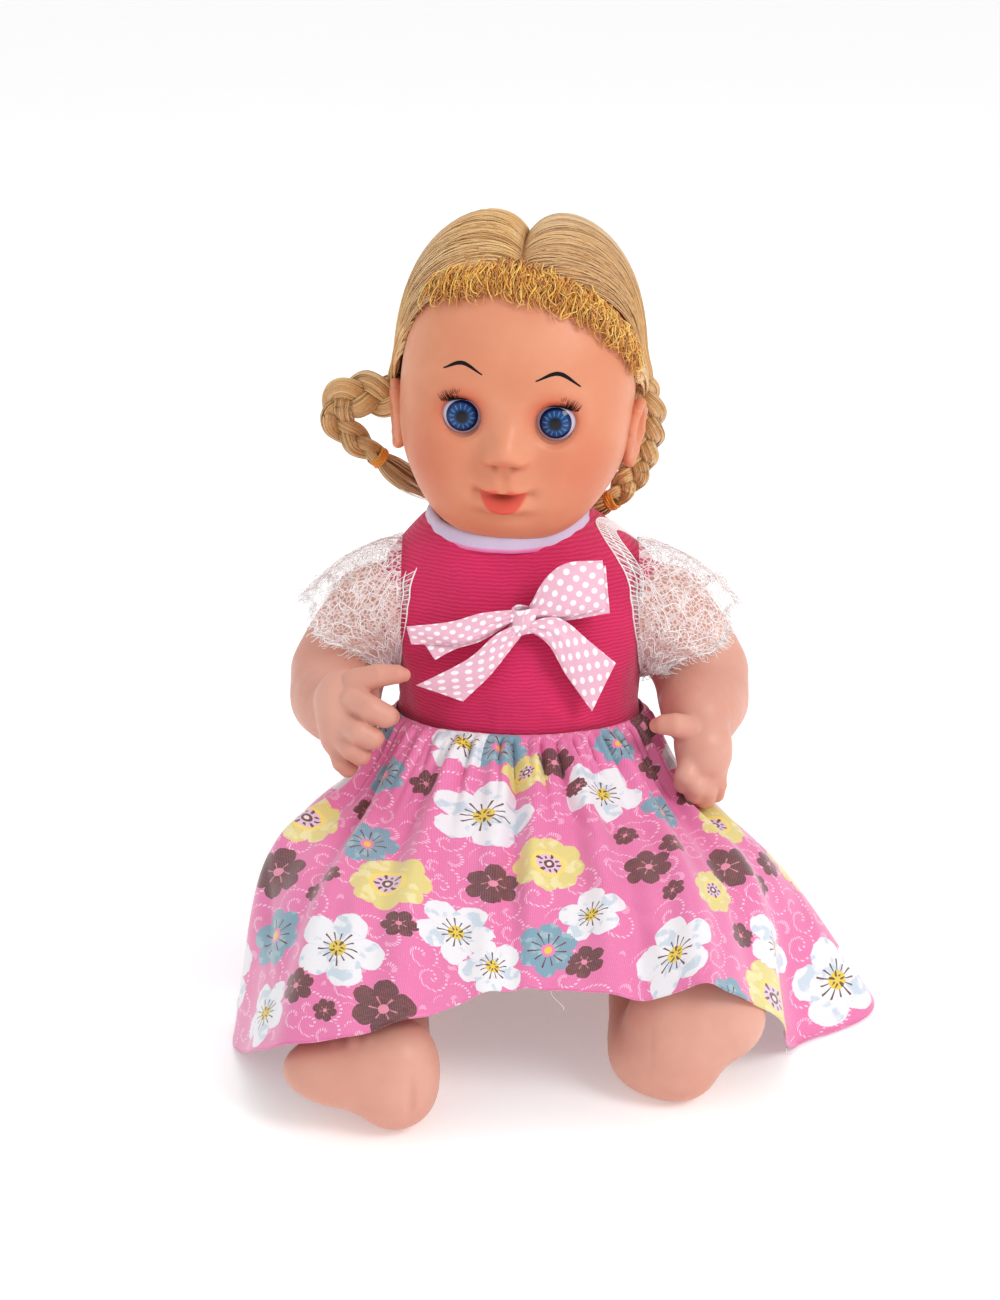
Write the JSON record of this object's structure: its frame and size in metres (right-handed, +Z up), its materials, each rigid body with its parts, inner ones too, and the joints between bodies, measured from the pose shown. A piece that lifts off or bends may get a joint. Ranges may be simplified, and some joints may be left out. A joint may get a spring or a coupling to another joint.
{
  "type": "interactive baby doll",
  "caption": "Seated vinyl baby doll with sleeping eyes, braided hair, turning head and limbs, a press-to-talk tummy button, a knit bodice and a printed satin skirt.",
  "frame": {"origin": "middle of the flat seat under the torso", "axes": "+Z up, -Y the way the doll faces, +X the doll's left"},
  "size_m": [0.199, 0.2004, 0.2365],
  "materials": {
    "skin_vinyl": "soft satin vinyl",
    "body_plastic": "moulded ABS",
    "hair_fibre": "shiny nylon hair",
    "hair_elastic": "thin elastic",
    "eye_white": "polished",
    "eye_iris": "polished, printed",
    "eyelash": "matt nylon",
    "steel": "plated",
    "inner_plastic": "moulded",
    "lace": "sheer white lace",
    "battery_jacket": "plain printed sleeve",
    "circuit_board": "solder mask",
    "black_plastic": "moulded",
    "speaker_paper": "pressed paper",
    "button_plastic": "moulded",
    "knit_pink": "fine ribbed knit",
    "print_satin": "printed polyester satin",
    "binding_satin": "satin bias binding",
    "dotted_ribbon": "satin ribbon with dots"
  },
  "bodies": {
    "torso": {"torso_front_shell": "body_plastic", "torso_back_shell": "body_plastic", "neck_ring": "body_plastic", "battery_tray": "inner_plastic", "battery_door": "body_plastic", "battery_door_screw": "steel", "battery_contacts_lower": "steel", "battery_contacts_upper": "steel", "battery_1": "battery_jacket", "battery_2": "battery_jacket", "battery_3": "battery_jacket", "torso_screw_1": "steel", "torso_screw_2": "steel", "torso_screw_3": "steel", "torso_screw_4": "steel", "circuit_board": "circuit_board", "sound_chip": "black_plastic", "tact_switch": "black_plastic", "speaker_frame": "steel", "speaker_cone": "speaker_paper", "speaker_magnet": "steel", "power_switch_body": "black_plastic", "bodice": "knit_pink", "skirt": "print_satin", "collar_binding": "binding_satin", "bow_knot": "dotted_ribbon", "bow_left_loop": "dotted_ribbon", "bow_right_loop": "dotted_ribbon", "bow_left_tail": "dotted_ribbon", "bow_right_tail": "dotted_ribbon"},
    "head": {"head_shell": "skin_vinyl", "hair_cap": "hair_fibre", "fringe": "hair_fibre", "right_braid": "hair_fibre", "right_braid_tail": "hair_fibre", "right_hair_band": "hair_elastic", "right_eye_socket": "inner_plastic", "left_braid": "hair_fibre", "left_braid_tail": "hair_fibre", "left_hair_band": "hair_elastic", "left_eye_socket": "inner_plastic"},
    "right_eye": {"right_eyeball": "eye_white", "right_iris": "eye_iris", "right_eyelid": "skin_vinyl", "right_eyelash": "eyelash", "right_eye_weight": "steel"},
    "left_eye": {"left_eyeball": "eye_white", "left_iris": "eye_iris", "left_eyelid": "skin_vinyl", "left_eyelash": "eyelash", "left_eye_weight": "steel"},
    "right_arm": {"right_arm": "skin_vinyl", "right_lace_sleeve": "lace"},
    "left_arm": {"left_arm": "skin_vinyl", "left_lace_sleeve": "lace"},
    "right_leg": {"right_leg": "skin_vinyl"},
    "left_leg": {"left_leg": "skin_vinyl"},
    "tummy_button": {"tummy_button": "button_plastic"},
    "power_switch": {"power_switch_knob": "black_plastic"}
  },
  "joints": [
    {"name": "head_turn", "type": "hinge", "parent": "torso", "child": "head", "pos_m": [-0.004, 0.012, 0.134], "axis": [0, 0, 1], "range_deg": [-75, 75]},
    {"name": "right_eye_close", "type": "hinge", "parent": "head", "child": "right_eye", "pos_m": [-0.01759, -0.00438, 0.18075], "axis": [0.9946, -0.087, -0.0558], "range_deg": [0, 66]},
    {"name": "left_eye_close", "type": "hinge", "parent": "head", "child": "left_eye", "pos_m": [0.01165, -0.00694, 0.17911], "axis": [0.9946, -0.087, -0.0558], "range_deg": [0, 66]},
    {"name": "right_shoulder", "type": "hinge", "parent": "torso", "child": "right_arm", "pos_m": [-0.038, 0.006, 0.106], "axis": [-1, 0, 0], "range_deg": [0, 95]},
    {"name": "left_shoulder", "type": "hinge", "parent": "torso", "child": "left_arm", "pos_m": [0.038, 0.006, 0.106], "axis": [-1, 0, 0], "range_deg": [0, 95]},
    {"name": "right_hip", "type": "hinge", "parent": "torso", "child": "right_leg", "pos_m": [-0.024, -0.008, 0.024], "axis": [1, 0, 0], "range_deg": [0, 85]},
    {"name": "left_hip", "type": "hinge", "parent": "torso", "child": "left_leg", "pos_m": [0.024, -0.008, 0.024], "axis": [1, 0, 0], "range_deg": [0, 85]},
    {"name": "tummy_button_press", "type": "slide", "parent": "torso", "child": "tummy_button", "axis": [0, 1, 0], "range_m": [0, 0.0015], "stiffness_N_per_m": 700, "springref_m": -0.0005},
    {"name": "power_switch_slide", "type": "slide", "parent": "torso", "child": "power_switch", "axis": [1, 0, 0], "range_m": [0, 0.003]}
  ]
}
